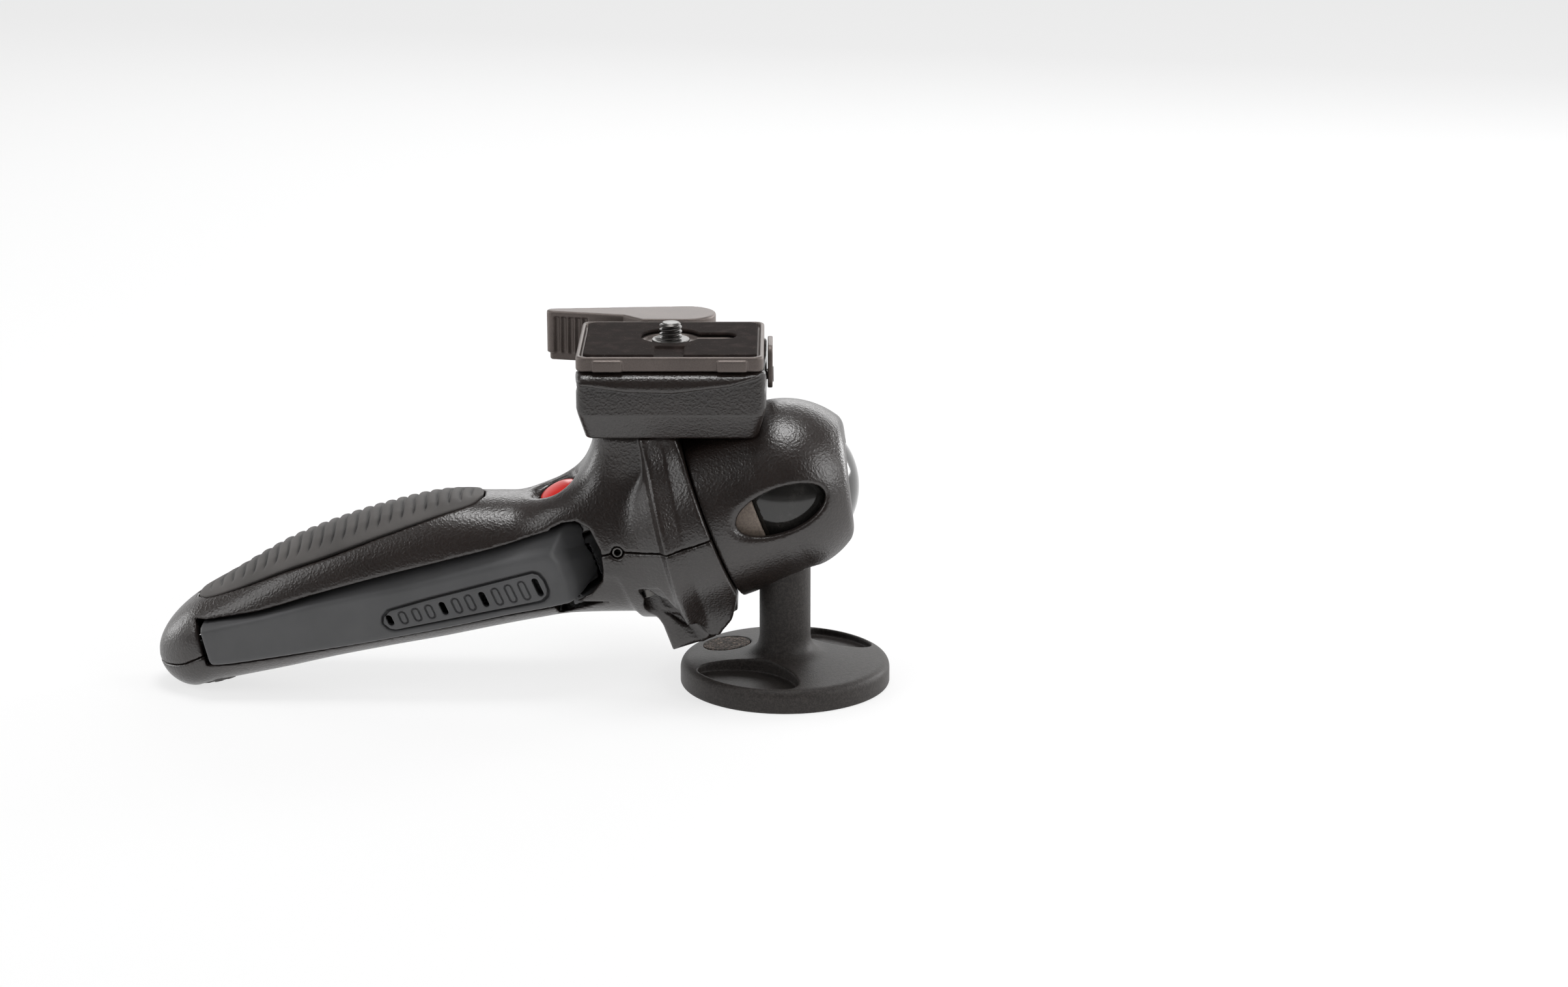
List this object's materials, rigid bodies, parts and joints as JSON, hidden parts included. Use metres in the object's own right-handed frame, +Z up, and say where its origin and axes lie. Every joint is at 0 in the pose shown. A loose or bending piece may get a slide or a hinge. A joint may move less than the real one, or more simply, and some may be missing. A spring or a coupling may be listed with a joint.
{
  "type": "joystick ball head",
  "caption": "Pistol-grip ball head lying on its side: squeeze lever in a padded grip, ball housing on a round tripod base, and a quick-release clamp with its camera plate.",
  "frame": {"origin": "centre of the round base underside, where the tripod screw enters", "axes": "+Z up along the stem, -X along the grip, +Y away from the squeeze lever, towards the clamp lever"},
  "size_m": [0.209, 0.068, 0.1049],
  "materials": {
    "coat": "warm black leather-fine powder coat, semi-gloss",
    "charcoal": "smooth matt charcoal moulding",
    "rubber": "matt dark grey ribbed rubber",
    "sanded_black": "sand-blasted satin black",
    "ball_black": "gloss black coated ball",
    "cup_grey": "plain warm grey moulding",
    "steel": "turned steel",
    "dark_steel": "blackened steel",
    "spring_steel": "drawn spring wire",
    "die_cast": "warm grey-brown die-cast, fine grain",
    "brass": "turned brass",
    "plate_pad": "near-black brown grip sheet",
    "cork": "brown speckled rubber cork",
    "red": "glossy red domed resin"
  },
  "bodies": {
    "base": {"base_casting": "sanded_black", "tripod_bush": "brass", "base_inlay": "cork", "stem_stud": "steel"},
    "ball": {"ball": "ball_black"},
    "ball_seat": {"pressure_cup": "cup_grey"},
    "head": {"ball_housing": "coat", "grip_upper_shell": "coat", "grip_lower_shell": "coat", "palm_pad": "rubber", "badge": "red", "bulkhead": "steel", "main_spring": "spring_steel", "lever_pivot_pin": "steel", "roll_pin": "dark_steel", "collar_screw_1": "dark_steel", "collar_screw_2": "dark_steel", "grip_screw_1": "dark_steel", "grip_screw_2": "dark_steel", "clamp_body": "coat", "clamp_screw_1": "dark_steel", "clamp_screw_2": "dark_steel", "clamp_lever_pin": "dark_steel", "catch_pin": "dark_steel", "camera_plate": "die_cast", "plate_pad": "plate_pad"},
    "grip_lever": {"grip_lever": "charcoal", "lever_plaque": "charcoal"},
    "pull_rod": {"pull_rod": "steel", "rod_nut": "steel"},
    "friction_dial": {"friction_dial": "coat", "dial_screw": "dark_steel"},
    "clamp_lever": {"clamp_lever": "die_cast"},
    "safety_catch": {"safety_catch": "die_cast"},
    "camera_screw": {"camera_screw": "dark_steel"}
  },
  "joints": [
    {"name": "pan", "type": "hinge", "parent": "base", "child": "ball", "pos_m": [0, 0, 0.058], "axis": [0, 0, 1], "continuous": true},
    {"name": "tilt", "type": "hinge", "parent": "ball", "child": "ball_seat", "pos_m": [0, 0, 0.058], "axis": [0, 1, 0], "range_deg": [0, 90]},
    {"name": "roll", "type": "hinge", "parent": "ball_seat", "child": "head", "pos_m": [0, 0, 0.058], "axis": [0.9336, 0, 0.3584], "range_deg": [-6, 6]},
    {"name": "squeeze", "type": "hinge", "parent": "head", "child": "grip_lever", "pos_m": [-0.05602, 0.008, 0.0365], "axis": [0.3584, 0, -0.9336], "range_deg": [0, 5], "stiffness_Nm_per_rad": 1, "springref_deg": -5.73},
    {"name": "rod_pull", "type": "slide", "parent": "head", "child": "pull_rod", "axis": [-0.9336, 0, -0.3584], "range_m": [0, 0.0007]},
    {"name": "friction_dial_turn", "type": "hinge", "parent": "head", "child": "friction_dial", "pos_m": [-0.1615, 0, 0.00222], "axis": [-0.2079, 0, 0.9781], "continuous": true},
    {"name": "clamp_open", "type": "hinge", "parent": "head", "child": "clamp_lever", "pos_m": [-0.0282, 0.0297, 0.094], "axis": [0, 0, -1], "range_deg": [0, 60]},
    {"name": "catch_swing", "type": "hinge", "parent": "head", "child": "safety_catch", "pos_m": [-0.0045, 0.008, 0.0886], "axis": [1, 0, 0], "range_deg": [0, 25]},
    {"name": "camera_screw_turn", "type": "hinge", "parent": "head", "child": "camera_screw", "pos_m": [-0.0321, 0.003, 0.095], "axis": [0, 0, 1], "continuous": true}
  ],
  "couplings": [
    {"joint": "rod_pull", "follows": "squeeze", "m_per_rad": 0.008}
  ]
}
